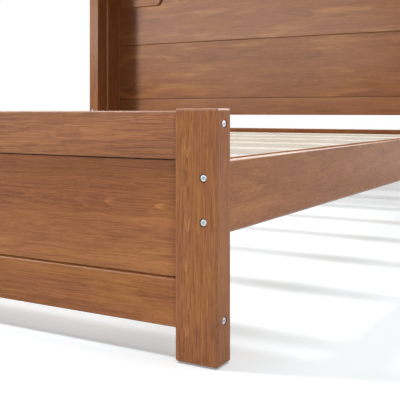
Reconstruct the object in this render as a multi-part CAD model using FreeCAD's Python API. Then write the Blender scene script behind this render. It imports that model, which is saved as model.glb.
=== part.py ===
import FreeCAD, Part
import os

# A king size platform bed of solid wood: a low panelled footboard, two side
# rails, a slat deck on ledgers and a centre beam, and a deep winged headboard.
# Millimetres, +Z up, X across the bed, Y from the foot (-) to the head (+).
# The origin is on the floor, under the middle of the bed.

Vector = FreeCAD.Vector

# Mattress and the room left round it
mattress_width = 1930.0
mattress_length = 2032.0
mattress_side_gap = 5.0
mattress_end_gap = 8.0

# Fits shared by the whole bed
hole_gap = 0.3             # gap round everything that sits in a drilled hole
groove_gap = 0.3           # gap round a panel in its groove
overrun = 2.0              # how far a cutting shape runs past the wood
same_place = 0.01          # closer than this, two places count as one

# Foot posts
foot_post_width = 80.0
foot_post_depth = 45.0
foot_post_top = 413.0
post_edge_radius = 4.5

# Glides under the four posts
glide_height = 2.0
glide_diameter = 20.0
glide_pin_diameter = 3.0
glide_pin_length = 14.0

# Footboard: two rails and a panel let into them
footboard_inset = 10.0
footboard_rail_thickness = 28.0
top_rail_drop = 4.0
top_rail_height = 80.0
bottom_rail_clearance = 53.0
bottom_rail_height = 80.0
rail_edge_radius = 3.0
panel_thickness = 12.0
panel_tongue = 8.0
panel_shadow_gap = 2.0     # open line between the face of the panel and a rail
panel_step = 5.0           # how far the tongues lie behind the face of the panel

# Side rails
side_rail_inset = 12.0
side_rail_thickness = 28.0
side_rail_top = 329.0
side_rail_height = 123.0
side_rail_edge_radius = 6.0

# Slats and the ledgers that carry their ends
slat_count = 7
slat_width = 70.0
slat_thickness = 20.0
slat_drop = 19.5           # slat tops lie this far below the rail tops
slat_end_gap = 2.0
slat_edge_radius = 2.0
first_slat_gap = 41.0
last_slat_gap = 10.0
ledger_width = 25.0
ledger_height = 30.0
ledger_end_gap = 10.0
ledger_edge_radius = 2.0

# Head cross rail
cross_rail_setback = 8.0
cross_rail_thickness = 28.0
cross_rail_height = 100.0

# Head posts and the double walled wings behind them
head_post_width = 58.0
head_post_depth = 68.0
head_post_radius = 3.0
wing_depth = 110.0
wing_bottom = 392.0
wing_top = 1082.0
wing_inset = 8.0
wing_outer_thickness = 20.0
wing_inner_thickness = 18.0
wing_step = 10.0           # the inner wing board stands this far proud of the post
wing_base_height = 18.0
wing_cap_height = 18.0
wing_edge_radius = 3.0
cap_edge_radius = 4.0

# Headboard boards, lapped one over the next
plank_thickness = 18.0
plank_gap = 4.0
bottom_board_height = 83.0
lower_plank_height = 295.0
plank_lap = 10.0
plank_edge_radius = 2.5
headboard_cap_height = 18.0
headboard_cap_nose = 8.0   # how far the cap stands out in front of the crest

# Shaped crest board on the front of the upper plank
crest_thickness = 12.0
crest_side_gap = 14.0
crest_end_height = 96.0
crest_end_length = 253.0
crest_rise = 60.0
crest_slant_run = 40.0
crest_corner_radius = 10.0
crest_edge_radius = 2.0

# Battens behind the headboard
batten_thickness = 20.0
batten_width = 60.0
batten_edge_radius = 2.0

# Centre beam, its legs and the steel hanger at its head end
beam_width = 45.0
beam_height = 60.0
beam_foot_gap = 15.0
beam_head_gap = 2.0
leg_width = 45.0
leg_radius = 3.0
leg_place_shares = (0.04, 0.36, 0.68)
leg_stud_diameter = 8.0
leg_stud_length = 60.0
foot_pad_diameter = 32.0
foot_pad_height = 6.0
foot_nut_width = 13.0
foot_nut_height = 6.0
foot_stud_length = 25.0
hanger_thickness = 2.5
hanger_depth = 45.0
hanger_cheek_height = 45.0
hanger_ear_width = 22.0

# Socket bolts and the barrel nuts that they pull on
bolt_diameter = 6.0
bolt_head_diameter = 12.0
bolt_head_height = 4.5
bolt_head_round = 1.2
bolt_socket_width = 4.0
bolt_socket_depth = 2.5
counterbore_diameter = 14.0
counterbore_depth = 5.5
bolt_tail = 9.0            # how far a bolt runs on past the middle of its nut
nut_reach = 35.0           # from the end of a rail to the middle of its nut
nut_diameter = 10.0
nut_length = 14.0
nut_slot_width = 1.2
nut_slot_depth = 1.2

# Places of the bolts
side_bolt_drop = 27.5
side_bolt_rise = 24.5
footboard_bolt_drop = 21.0
footboard_bolt_rise = 19.0
cross_bolt_drop = 46.0
cross_bolt_spacing = 29.0
wing_bolt_inset = 23.5

# Dowels
dowel_diameter = 8.0
dowel_length = 40.0
dowel_chamfer = 1.0
footboard_dowel_offset = 40.0
cross_dowel_drop = 20.0
cap_dowel_length = 28.0
cap_dowel_depth = 11.0     # how much of a cap dowel is in the cap
wing_cap_dowel_shares = (0.3, 0.7)
headboard_cap_dowel_count = 5

# Wood screws
screw_diameter = 4.0
screw_head_diameter = 8.0
screw_head_height = 2.4
screw_point_length = 4.0
slat_screw_length = 38.0
ledger_screw_length = 42.0
wing_screw_length = 62.0
batten_screw_length = 34.0
crest_screw_length = 25.0
crest_screw_shares = (0.12, 0.47, 0.92)
hanger_screw_length = 18.0
screw_margin = 24.0        # from the edge of a board to its screws

# Places across the bed, for the right-hand side
inner_half_width = mattress_width / 2 + mattress_side_gap
side_rail_inner = inner_half_width
side_rail_outer = side_rail_inner + side_rail_thickness
half_width = side_rail_outer + side_rail_inset
foot_post_inner = half_width - foot_post_width
head_post_inner = half_width - head_post_width
wing_outer_face = half_width - wing_inset
wing_outer_inside = wing_outer_face - wing_outer_thickness
wing_inner_face = head_post_inner - wing_step
wing_inner_inside = wing_inner_face + wing_inner_thickness
crest_half_length = wing_inner_face - crest_side_gap

# Places along the bed
inner_length = mattress_length + 2 * mattress_end_gap
headboard_depth = head_post_depth + wing_depth + plank_thickness + batten_thickness
overall_length = foot_post_depth + inner_length - cross_rail_setback + headboard_depth
foot_front = -overall_length / 2
foot_post_back = foot_front + foot_post_depth
footboard_front = foot_front + footboard_inset
footboard_back = footboard_front + footboard_rail_thickness
footboard_middle = (footboard_front + footboard_back) / 2
cross_rail_front = foot_post_back + inner_length
cross_rail_back = cross_rail_front + cross_rail_thickness
cross_rail_middle = (cross_rail_front + cross_rail_back) / 2
head_post_front = cross_rail_front - cross_rail_setback
head_post_back = head_post_front + head_post_depth
wing_back = head_post_back + wing_depth
plank_back = wing_back + plank_thickness
batten_back = plank_back + batten_thickness

# Heights
top_rail_top = foot_post_top - top_rail_drop
top_rail_bottom = top_rail_top - top_rail_height
bottom_rail_top = bottom_rail_clearance + bottom_rail_height
side_rail_bottom = side_rail_top - side_rail_height
slat_top = side_rail_top - slat_drop
slat_bottom = slat_top - slat_thickness
ledger_bottom = slat_bottom - ledger_height
beam_bottom = slat_bottom - beam_height
cross_rail_bottom = side_rail_top - cross_rail_height
wing_board_top = wing_top - wing_cap_height
lower_plank_bottom = wing_bottom + bottom_board_height + plank_gap
lower_plank_top = lower_plank_bottom + lower_plank_height
upper_plank_bottom = lower_plank_top + plank_gap
leg_bottom = foot_pad_height + foot_nut_height

# Bolt lines
side_bolt_x = (side_rail_inner + side_rail_outer) / 2
side_bolt_heights = (side_rail_top - side_bolt_drop, side_rail_bottom + side_bolt_rise)
wing_bolt_x = (wing_outer_face + wing_outer_inside) / 2
wing_bolt_heights = (wing_bottom + wing_bolt_inset, wing_board_top - wing_bolt_inset)


def box(x_range, y_range, z_range):
    size = [pair[1] - pair[0] for pair in (x_range, y_range, z_range)]
    return Part.makeBox(*size, Vector(x_range[0], y_range[0], z_range[0]))


def edges_along(shape, axis, x=None, y=None, z=None):
    # straight edges that run along one axis, at given places if any are named
    found = []
    for edge in shape.Edges:
        start, end = edge.Vertexes[0].Point, edge.Vertexes[-1].Point
        run = end - start
        if abs(run.dot(axis)) < run.Length * 0.999:
            continue
        places = zip((x, y, z), (start.x, start.y, start.z))
        if all(wanted is None or abs(wanted - place) < same_place for wanted, place in places):
            found.append(edge)
    return found


along_x = Vector(1, 0, 0)
along_y = Vector(0, 1, 0)
along_z = Vector(0, 0, 1)


def rounded_board(x_range, y_range, z_range, radius, *axes):
    # a board whose edges along the named axes are rounded
    board = box(x_range, y_range, z_range)
    edges = [edge for axis in axes for edge in edges_along(board, axis)]
    return board.makeFillet(radius, edges)


def mirrored(shape):
    return shape.mirror(Vector(0, 0, 0), along_x)


def both_sides(shapes):
    return shapes + [mirrored(shape) for shape in shapes]


def placed(shape, point, direction):
    # a shape made along +Z, turned to a direction and moved to a point
    turned = shape.copy()
    turned.Placement = FreeCAD.Placement(point, FreeCAD.Rotation(along_z, direction))
    return turned


def standing(shape, points):
    # upright copies of a shape, one at each point
    return [placed(shape, point, along_z) for point in points]


def round_bar(diameter, start, end):
    return Part.makeCylinder(diameter / 2, end - start, Vector(0, 0, start))


def cut_by(shape, tools):
    # cuts the holes and grooves that reach into this piece
    touching = [tool for tool in tools if shape.BoundBox.intersect(tool.BoundBox)]
    return shape.cut(touching).removeSplitter() if touching else shape


def hexagon(width, start, end):
    # a hexagonal bar, given by its width across the flats
    corner = Vector(width / 3 ** 0.5, 0, start)
    turn = FreeCAD.Rotation(along_z, 60)
    corners = [corner]
    for _ in range(6):
        corners.append(turn.multVec(corners[-1]))
    return Part.Face(Part.makePolygon(corners)).extrude(Vector(0, 0, end - start))


# Fasteners, each made along +Z with its seat at zero
def socket_bolt(length):
    head = round_bar(bolt_head_diameter, -bolt_head_height, 0)
    rim = [edge for edge in head.Edges if abs(edge.CenterOfMass.z + bolt_head_height) < same_place]
    head = head.makeFillet(bolt_head_round, rim)
    socket = hexagon(bolt_socket_width, -bolt_head_height - overrun, bolt_socket_depth - bolt_head_height)
    return head.fuse(round_bar(bolt_diameter, 0, length)).cut(socket).removeSplitter()


def bolt_hole(length):
    bore = round_bar(bolt_diameter + 2 * hole_gap, -overrun, length + overrun)
    return bore.fuse(round_bar(counterbore_diameter, -counterbore_depth - overrun, 0))


def barrel_nut(bolt_direction):
    # lies along Z with its middle at zero and a slot in its lower end
    body = round_bar(nut_diameter, -nut_length / 2, nut_length / 2)
    thread = placed(round_bar(bolt_diameter + 2 * hole_gap, -nut_diameter, nut_diameter),
                    Vector(0, 0, 0), bolt_direction)
    slot = box((-nut_diameter, nut_diameter), (-nut_slot_width / 2, nut_slot_width / 2),
               (-nut_length / 2 - overrun, nut_slot_depth - nut_length / 2))
    return body.cut([thread, slot])


def nut_hole(open_depth):
    # open_depth is the distance from the middle of the nut to the open face
    return round_bar(nut_diameter + 2 * hole_gap, -open_depth - overrun, nut_length / 2 + hole_gap)


def dowel(length):
    bar = round_bar(dowel_diameter, -length / 2, length / 2)
    rims = [edge for edge in bar.Edges if abs(edge.CenterOfMass.z) > length / 4 and edge.Closed]
    return bar.makeChamfer(dowel_chamfer, rims)


def dowel_hole(length):
    return round_bar(dowel_diameter + 2 * hole_gap, -length / 2 - hole_gap, length / 2 + hole_gap)


def screw_profile(length, gap):
    # half section of a countersunk wood screw, head flush at zero
    neck = screw_diameter / 2 + gap
    rim = screw_head_diameter / 2 + gap
    points = [Vector(0, 0, 0), Vector(rim, 0, 0), Vector(neck, 0, screw_head_height + gap)]
    points += [Vector(neck, 0, length - screw_point_length), Vector(0, 0, length + gap)]
    return Part.Face(Part.makePolygon(points + points[:1])).revolve(Vector(0, 0, 0), along_z, 360)


def wood_screw(length):
    return screw_profile(length, 0)


def screw_hole(length):
    mouth = round_bar(screw_head_diameter + 2 * hole_gap, -overrun, 0)
    return screw_profile(length, hole_gap).fuse(mouth)


def screws_at(points, direction, length):
    # the screws at a list of points, and the holes for them
    solids = [placed(wood_screw(length), point, direction) for point in points]
    holes = [placed(screw_hole(length), point, direction) for point in points]
    return solids, holes


def dowels_at(points, direction, length):
    solids = [placed(dowel(length), point, direction) for point in points]
    holes = [placed(dowel_hole(length), point, direction) for point in points]
    return solids, holes


def bolted_joint(seat, direction, joint_distance, nut_direction, open_depth):
    # a bolt from its seat across the joint into a barrel nut, with all its holes
    length = joint_distance + nut_reach + bolt_tail
    middle = seat + direction * (joint_distance + nut_reach)
    bolt = placed(socket_bolt(length), seat, direction)
    turn = FreeCAD.Rotation(along_z, nut_direction).inverted()
    nut = placed(barrel_nut(turn.multVec(direction)), middle, nut_direction)
    holes = [placed(bolt_hole(length), seat, direction), placed(nut_hole(open_depth), middle, nut_direction)]
    return bolt, nut, holes


def bolt_row(seats, direction, joint_distance, nut_direction, open_depth):
    bolts, nuts, holes = [], [], []
    for seat in seats:
        bolt, nut, cuts = bolted_joint(seat, direction, joint_distance, nut_direction, open_depth)
        bolts.append(bolt)
        nuts.append(nut)
        holes += cuts
    return bolts, nuts, holes


# Knock-down joints of the frame, each worked out for the right-hand side
def side_rail_foot_joint():
    seats = [Vector(side_bolt_x, foot_front + counterbore_depth, height) for height in side_bolt_heights]
    return bolt_row(seats, along_y, foot_post_depth - counterbore_depth, along_x, side_rail_thickness / 2)


def side_rail_head_joint():
    seats = [Vector(side_bolt_x, head_post_back - counterbore_depth, height) for height in side_bolt_heights]
    return bolt_row(seats, -along_y, head_post_depth - counterbore_depth, along_x, side_rail_thickness / 2)


def footboard_joint():
    heights = (top_rail_top - footboard_bolt_drop, bottom_rail_clearance + footboard_bolt_rise)
    seats = [Vector(half_width - counterbore_depth, footboard_middle, height) for height in heights]
    return bolt_row(seats, -along_x, foot_post_width - counterbore_depth, -along_y,
                    footboard_rail_thickness / 2)


def cross_rail_joint():
    upper = side_rail_top - cross_bolt_drop
    heights = (upper, upper - cross_bolt_spacing)
    seats = [Vector(half_width - counterbore_depth, cross_rail_middle, height) for height in heights]
    return bolt_row(seats, -along_x, head_post_width - counterbore_depth, -along_y, cross_rail_thickness / 2)


def wing_joint():
    seats = [Vector(wing_bolt_x, head_post_front + counterbore_depth, height) for height in wing_bolt_heights]
    return bolt_row(seats, along_y, head_post_depth - counterbore_depth, along_x, wing_outer_thickness / 2)


def rail_dowels():
    middle = (side_bolt_heights[0] + side_bolt_heights[1]) / 2
    along_bed = [Vector(side_bolt_x, foot_post_back, middle), Vector(side_bolt_x, head_post_front, middle)]
    upper = top_rail_top - footboard_bolt_drop - footboard_dowel_offset
    lower = bottom_rail_clearance + footboard_bolt_rise + footboard_dowel_offset
    across = [Vector(foot_post_inner, footboard_middle, upper)]
    across.append(Vector(foot_post_inner, footboard_middle, lower))
    across.append(Vector(head_post_inner, cross_rail_middle, side_rail_top - cross_dowel_drop))
    solids, holes = dowels_at(along_bed, along_y, dowel_length)
    more_solids, more_holes = dowels_at(across, along_x, dowel_length)
    return both_sides(solids + more_solids), both_sides(holes + more_holes)


def cap_dowels():
    # two in each wing cap, and a row in the long cap above the upper plank
    rise = cap_dowel_depth - cap_dowel_length / 2
    post_x = half_width - head_post_width / 2
    places = [head_post_front + share * head_post_depth for share in wing_cap_dowel_shares]
    wing_points = [Vector(post_x, place, wing_board_top + rise) for place in places]
    solids, holes = dowels_at(wing_points, along_z, cap_dowel_length)
    step = 2 * crest_half_length / headboard_cap_dowel_count
    row = []
    for number in range(headboard_cap_dowel_count):
        place = (number + 0.5) * step - crest_half_length
        row.append(Vector(place, (wing_back + plank_back) / 2, wing_top + rise))
    row_solids, row_holes = dowels_at(row, along_z, cap_dowel_length)
    return both_sides(solids) + row_solids, both_sides(holes) + row_holes


# Places of the slats and of what stands between them
def slat_places():
    first = foot_post_back + first_slat_gap + slat_width / 2
    last = cross_rail_front - last_slat_gap - slat_width / 2
    pitch = (last - first) / (slat_count - 1)
    return [first + number * pitch for number in range(slat_count)]


def slat_screws():
    ends = (side_rail_inner - ledger_width / 2, 0, ledger_width / 2 - side_rail_inner)
    points = [Vector(x, y, slat_top) for y in slat_places() for x in ends]
    return screws_at(points, -along_z, slat_screw_length)


def ledger_screws():
    places = slat_places()
    inner_face = side_rail_inner - ledger_width
    height = slat_bottom - ledger_height / 2
    points = []
    for before, after in zip(places, places[1:]):
        points.append(Vector(inner_face, (before + after) / 2, height))
    solids, holes = screws_at(points, along_x, ledger_screw_length)
    return both_sides(solids), both_sides(holes)


def board_screw_heights():
    # one level in the bottom board, two in each plank
    heights = [wing_bottom + bottom_board_height / 2]
    for low, high in ((lower_plank_bottom, lower_plank_top), (upper_plank_bottom, wing_top)):
        heights += [low + 2 * screw_margin, high - 2 * screw_margin]
    return heights


def wing_screws():
    lines = ((wing_inner_face + wing_inner_inside) / 2, wing_bolt_x)
    points = [Vector(x, batten_back, height) for x in lines for height in board_screw_heights()]
    solids, holes = screws_at(points, -along_y, wing_screw_length)
    return both_sides(solids), both_sides(holes)


def batten_screws():
    points = [Vector(0, batten_back, height) for height in board_screw_heights()]
    return screws_at(points, -along_y, batten_screw_length)


def crest_screws():
    height = wing_top - (crest_end_height - crest_rise) / 2
    points = [Vector(share * crest_half_length, plank_back, height) for share in crest_screw_shares]
    solids, holes = screws_at(points, -along_y, crest_screw_length)
    return both_sides(solids), both_sides(holes)


def hanger_screws():
    ear_x = beam_width / 2 + hole_gap + hanger_thickness + hanger_ear_width / 2
    cheek_x = beam_width / 2 + hole_gap + hanger_thickness
    middle = beam_bottom + hanger_cheek_height / 2
    ears = [Vector(ear_x, cross_rail_front - hanger_thickness, middle + step * hanger_cheek_height / 4)
            for step in (-1, 1)]
    cheek = [Vector(cheek_x, cross_rail_front - hanger_depth / 2, middle)]
    solids, holes = screws_at(ears, along_y, hanger_screw_length)
    more_solids, more_holes = screws_at(cheek, -along_x, hanger_screw_length)
    return both_sides(solids + more_solids), both_sides(holes + more_holes)


# Footboard and foot posts
def foot_post(tools):
    post = rounded_board((foot_post_inner, half_width), (foot_front, foot_post_back),
                         (glide_height, foot_post_top), post_edge_radius, along_x, along_y, along_z)
    return cut_by(post, tools)


def footboard_rail(bottom, top, tools):
    rail = rounded_board((-foot_post_inner, foot_post_inner), (footboard_front, footboard_back),
                         (bottom, top), rail_edge_radius, along_x)
    return cut_by(rail, tools)


def footboard_panel(gap):
    # the panel with its stepped tongues, or with a gap the groove that is cut for it
    half_length = foot_post_inner + panel_tongue + gap
    front = footboard_middle - panel_thickness / 2 - gap
    low, high = bottom_rail_top - panel_tongue - gap, top_rail_bottom + panel_tongue + gap
    board = box((-half_length, half_length), (front, front + panel_thickness + 2 * gap), (low, high))
    face_low = bottom_rail_top + panel_shadow_gap - gap
    face_high = top_rail_bottom - panel_shadow_gap + gap
    steps = [box((-half_width, half_width), (front - overrun, front + panel_step), z_range)
             for z_range in ((low - overrun, face_low), (face_high, high + overrun))]
    return board.cut(steps)


def post_glides():
    # a round pad with a pin, under the middle of every post
    pad = round_bar(glide_diameter, 0, glide_height)
    pin = round_bar(glide_pin_diameter, 0, glide_height + glide_pin_length)
    hole = round_bar(glide_pin_diameter + 2 * hole_gap, 0, glide_height + glide_pin_length + hole_gap)
    foot_middle = Vector(half_width - foot_post_width / 2, (foot_front + foot_post_back) / 2, 0)
    head_middle = Vector(half_width - head_post_width / 2, (head_post_front + head_post_back) / 2, 0)
    points = [foot_middle, head_middle]
    return both_sides(standing(pad.fuse(pin), points)), both_sides(standing(hole, points))


# Side rails, ledgers and slats
def side_rail(tools):
    rail = rounded_board((side_rail_inner, side_rail_outer), (foot_post_back, head_post_front),
                         (side_rail_bottom, side_rail_top), side_rail_edge_radius, along_y)
    return cut_by(rail, tools)


def ledger(tools):
    strip = rounded_board((side_rail_inner - ledger_width, side_rail_inner),
                          (foot_post_back + ledger_end_gap, head_post_front - ledger_end_gap),
                          (ledger_bottom, slat_bottom), ledger_edge_radius, along_y)
    return cut_by(strip, tools)


def slat(place, tools):
    half_length = inner_half_width - slat_end_gap
    board = rounded_board((-half_length, half_length), (place - slat_width / 2, place + slat_width / 2),
                          (slat_bottom, slat_top), slat_edge_radius, along_x)
    return cut_by(board, tools)


def cross_rail(tools):
    rail = rounded_board((-head_post_inner, head_post_inner), (cross_rail_front, cross_rail_back),
                         (cross_rail_bottom, side_rail_top), rail_edge_radius, along_x)
    return cut_by(rail, tools)


# Centre beam, its legs and its hanger
def beam_start():
    return foot_post_back + beam_foot_gap


def leg_places():
    run = cross_rail_front - beam_start()
    return [beam_start() + share * run for share in leg_place_shares]


def centre_beam(tools):
    beam = rounded_board((-beam_width / 2, beam_width / 2), (beam_start(), cross_rail_front - beam_head_gap),
                         (beam_bottom, slat_bottom), ledger_edge_radius, along_y)
    return cut_by(beam, tools)


def centre_leg(place, tools):
    leg = rounded_board((-leg_width / 2, leg_width / 2), (place - leg_width / 2, place + leg_width / 2),
                        (leg_bottom, beam_bottom), leg_radius, along_z)
    return cut_by(leg, tools)


def leg_studs():
    stud = round_bar(leg_stud_diameter, -leg_stud_length / 2, leg_stud_length / 2)
    hole = round_bar(leg_stud_diameter + 2 * hole_gap, -leg_stud_length / 2 - hole_gap,
                     leg_stud_length / 2 + hole_gap)
    points = [Vector(0, place, beam_bottom) for place in leg_places()]
    return standing(stud, points), standing(hole, points)


def leg_feet():
    # a screw-in levelling foot: a domed pad, a nut and a stud
    pad = round_bar(foot_pad_diameter, 0, foot_pad_height)
    rim = [edge for edge in pad.Edges if edge.Closed and edge.CenterOfMass.z > foot_pad_height / 2]
    pad = pad.makeFillet(foot_pad_height / 2, rim)
    nut = hexagon(foot_nut_width, foot_pad_height, leg_bottom)
    stud = round_bar(leg_stud_diameter, 0, leg_bottom + foot_stud_length)
    foot = pad.fuse([nut, stud]).removeSplitter()
    hole = round_bar(leg_stud_diameter + 2 * hole_gap, leg_bottom - overrun,
                     leg_bottom + foot_stud_length + hole_gap)
    points = [Vector(0, place, 0) for place in leg_places()]
    return standing(foot, points), standing(hole, points)


def beam_hanger(tools):
    # a bent steel stirrup: a seat, two cheeks and two ears on the cross rail
    inside = beam_width / 2 + hole_gap
    outside = inside + hanger_thickness
    y_range = (cross_rail_front - hanger_depth, cross_rail_front)
    top = beam_bottom + hanger_cheek_height
    seat = box((-outside, outside), y_range, (beam_bottom - hanger_thickness, beam_bottom))
    cheek = box((inside, outside), y_range, (beam_bottom - hanger_thickness, top))
    ear = box((inside, outside + hanger_ear_width), (cross_rail_front - hanger_thickness, cross_rail_front),
              (beam_bottom - hanger_thickness, top))
    stirrup = seat.fuse(both_sides([cheek, ear])).removeSplitter()
    return cut_by(stirrup, tools)


# Head posts and wings
def head_post(tools):
    post = rounded_board((head_post_inner, half_width), (head_post_front, head_post_back),
                         (glide_height, wing_board_top), head_post_radius, along_z)
    return cut_by(post, tools)


def wing_board(x_range, tools):
    board = rounded_board(x_range, (head_post_back, wing_back), (wing_bottom, wing_board_top),
                          wing_edge_radius, along_z)
    return cut_by(board, tools)


def wing_base():
    return box((wing_inner_inside, wing_outer_inside), (head_post_back, wing_back),
               (wing_bottom, wing_bottom + wing_base_height))


def wing_cap(tools):
    cap = box((wing_inner_face, half_width), (head_post_front, wing_back), (wing_board_top, wing_top))
    rim = edges_along(cap, along_x, y=head_post_front, z=wing_top)
    rim += edges_along(cap, along_y, x=half_width, z=wing_top)
    rim += edges_along(cap, along_y, x=wing_inner_face, z=wing_top)
    return cut_by(cap.makeFillet(cap_edge_radius, rim), tools)


# Headboard boards, crest, cap and battens
def headboard_board(bottom, top, tongue, rabbet, tools):
    # a board with a thin tongue above and a matching rabbet below, both at the back
    middle = (wing_back + plank_back) / 2
    board = box((-wing_outer_face, wing_outer_face), (wing_back, plank_back), (bottom, top))
    board = board.makeFillet(plank_edge_radius, edges_along(board, along_x, y=wing_back))
    if tongue:
        lap = box((-wing_outer_face, wing_outer_face), (middle + groove_gap, plank_back),
                  (top, top + plank_lap))
        board = board.fuse(lap).removeSplitter()
    if rabbet:
        step = box((-half_width, half_width), (middle, plank_back + overrun),
                   (bottom - overrun, bottom + plank_lap - plank_gap + groove_gap))
        board = board.cut(step)
    return cut_by(board, tools)


def crest_outline():
    # half of the lower edge, from the end of the board in to its raised middle
    low = wing_top - crest_end_height
    slant = crest_half_length - crest_end_length
    return [(crest_half_length, wing_top), (crest_half_length, low), (slant, low),
            (slant - crest_slant_run, low + crest_rise)]


def crest_board(tools):
    right = [Vector(x, wing_back, z) for x, z in crest_outline()]
    left = [Vector(-x, wing_back, z) for x, z in reversed(crest_outline())]
    outline = Part.makePolygon(right + left + right[:1])
    board = Part.Face(outline).extrude(-along_y * crest_thickness)
    corners = [edge for edge in edges_along(board, along_y) if edge.BoundBox.ZMin < wing_top - same_place]
    board = board.makeFillet(crest_corner_radius, corners)
    front = wing_back - crest_thickness
    rim = [edge for edge in board.Edges if edge.BoundBox.YMax < front + same_place
           and edge.BoundBox.ZMin < wing_top - same_place]
    return cut_by(board.makeFillet(crest_edge_radius, rim), tools)


def headboard_cap(tools):
    front = wing_back - crest_thickness - headboard_cap_nose
    cap = rounded_board((-half_width, half_width), (front, batten_back),
                        (wing_top, wing_top + headboard_cap_height), cap_edge_radius, along_x)
    return cut_by(cap, tools)


def batten(middle, tools):
    strip = rounded_board((middle - batten_width / 2, middle + batten_width / 2), (plank_back, batten_back),
                          (wing_bottom, wing_top), batten_edge_radius, along_z)
    return cut_by(strip, tools)


def build():
    foot_bolts, foot_nuts, foot_holes = side_rail_foot_joint()
    head_bolts, head_nuts, head_holes = side_rail_head_joint()
    board_bolts, board_nuts, board_holes = footboard_joint()
    cross_bolts, cross_nuts, cross_holes = cross_rail_joint()
    wing_bolts, wing_nuts, wing_holes = wing_joint()
    dowels, dowel_cuts = rail_dowels()
    cap_pins, cap_cuts = cap_dowels()
    slat_fixings, slat_cuts = slat_screws()
    ledger_fixings, ledger_cuts = ledger_screws()
    wing_fixings, wing_cuts = wing_screws()
    batten_fixings, batten_cuts = batten_screws()
    crest_fixings, crest_cuts = crest_screws()
    hanger_fixings, hanger_cuts = hanger_screws()
    glides, glide_cuts = post_glides()
    studs, stud_cuts = leg_studs()
    feet, foot_cuts = leg_feet()

    frame_cuts = both_sides(foot_holes + head_holes + board_holes + cross_holes) + dowel_cuts
    frame_cuts.append(footboard_panel(groove_gap))
    headboard_cuts = both_sides(wing_holes) + cap_cuts + wing_cuts + batten_cuts + crest_cuts
    beam_cuts = slat_cuts + hanger_cuts + stud_cuts + foot_cuts

    nodes = {}

    def pair(name, shape):
        nodes[name + "_right"] = [shape]
        nodes[name + "_left"] = [mirrored(shape)]

    pair("foot_post", foot_post(frame_cuts + glide_cuts))
    nodes["footboard_top_rail"] = [footboard_rail(top_rail_bottom, top_rail_top, frame_cuts)]
    nodes["footboard_bottom_rail"] = [footboard_rail(bottom_rail_clearance, bottom_rail_top, frame_cuts)]
    nodes["footboard_panel"] = [footboard_panel(0)]
    pair("side_rail", side_rail(frame_cuts + ledger_cuts))
    pair("slat_ledger", ledger(slat_cuts + ledger_cuts))
    for number, place in enumerate(slat_places(), 1):
        nodes["slat_%d" % number] = [slat(place, slat_cuts)]
    nodes["head_cross_rail"] = [cross_rail(frame_cuts + hanger_cuts)]
    nodes["centre_beam"] = [centre_beam(beam_cuts)]
    for number, place in enumerate(leg_places(), 1):
        nodes["centre_leg_%d" % number] = [centre_leg(place, beam_cuts)]
    nodes["leg_studs"] = studs
    nodes["levelling_feet"] = feet
    nodes["beam_hanger"] = [beam_hanger(hanger_cuts)]
    nodes["post_glides"] = glides

    pair("head_post", head_post(frame_cuts + headboard_cuts + glide_cuts))
    pair("wing_outer_board", wing_board((wing_outer_inside, wing_outer_face), headboard_cuts))
    pair("wing_inner_board", wing_board((wing_inner_face, wing_inner_inside), headboard_cuts))
    pair("wing_base", wing_base())
    pair("wing_cap", wing_cap(headboard_cuts))
    nodes["headboard_bottom_board"] = [headboard_board(wing_bottom, wing_bottom + bottom_board_height,
                                                       True, False, headboard_cuts)]
    nodes["headboard_lower_plank"] = [headboard_board(lower_plank_bottom, lower_plank_top,
                                                      True, True, headboard_cuts)]
    nodes["headboard_upper_plank"] = [headboard_board(upper_plank_bottom, wing_top,
                                                      False, True, headboard_cuts)]
    nodes["headboard_crest"] = [crest_board(headboard_cuts)]
    nodes["headboard_cap"] = [headboard_cap(headboard_cuts)]
    pair("headboard_batten", batten((wing_inner_face + wing_outer_face) / 2, headboard_cuts))
    nodes["headboard_batten_middle"] = [batten(0, headboard_cuts)]

    nodes["side_rail_foot_bolts"] = both_sides(foot_bolts)
    nodes["side_rail_head_bolts"] = both_sides(head_bolts)
    nodes["footboard_bolts"] = both_sides(board_bolts)
    nodes["cross_rail_bolts"] = both_sides(cross_bolts)
    nodes["wing_bolts"] = both_sides(wing_bolts)
    nodes["barrel_nuts"] = both_sides(foot_nuts + head_nuts + board_nuts + cross_nuts + wing_nuts)
    nodes["rail_dowels"] = dowels
    nodes["cap_dowels"] = cap_pins
    nodes["slat_screws"] = slat_fixings
    nodes["ledger_screws"] = ledger_fixings
    nodes["wing_screws"] = wing_fixings
    nodes["batten_screws"] = batten_fixings
    nodes["crest_screws"] = crest_fixings
    nodes["hanger_screws"] = hanger_fixings
    return nodes


os.makedirs("parts", exist_ok=True)
for name, solids in build().items():
    shape = solids[0] if len(solids) == 1 else Part.makeCompound(solids)
    shape.exportStep("parts/%s.step" % name)
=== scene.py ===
import math
import bpy
import bmesh
from mathutils import Matrix, Vector


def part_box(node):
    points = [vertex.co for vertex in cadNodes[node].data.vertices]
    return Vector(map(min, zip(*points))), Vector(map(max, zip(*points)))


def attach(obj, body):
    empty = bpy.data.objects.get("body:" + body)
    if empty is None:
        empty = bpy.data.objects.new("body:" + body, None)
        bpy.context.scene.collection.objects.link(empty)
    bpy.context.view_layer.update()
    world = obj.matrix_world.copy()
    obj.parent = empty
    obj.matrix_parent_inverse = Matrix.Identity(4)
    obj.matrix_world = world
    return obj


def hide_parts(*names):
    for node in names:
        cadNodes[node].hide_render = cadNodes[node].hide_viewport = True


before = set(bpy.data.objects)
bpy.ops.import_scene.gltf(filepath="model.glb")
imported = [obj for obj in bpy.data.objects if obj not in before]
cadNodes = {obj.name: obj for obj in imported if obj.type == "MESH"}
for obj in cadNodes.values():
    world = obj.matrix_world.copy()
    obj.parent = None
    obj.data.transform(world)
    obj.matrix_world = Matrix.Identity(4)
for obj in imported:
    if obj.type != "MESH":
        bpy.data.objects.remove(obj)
scene = bpy.context.scene
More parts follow.
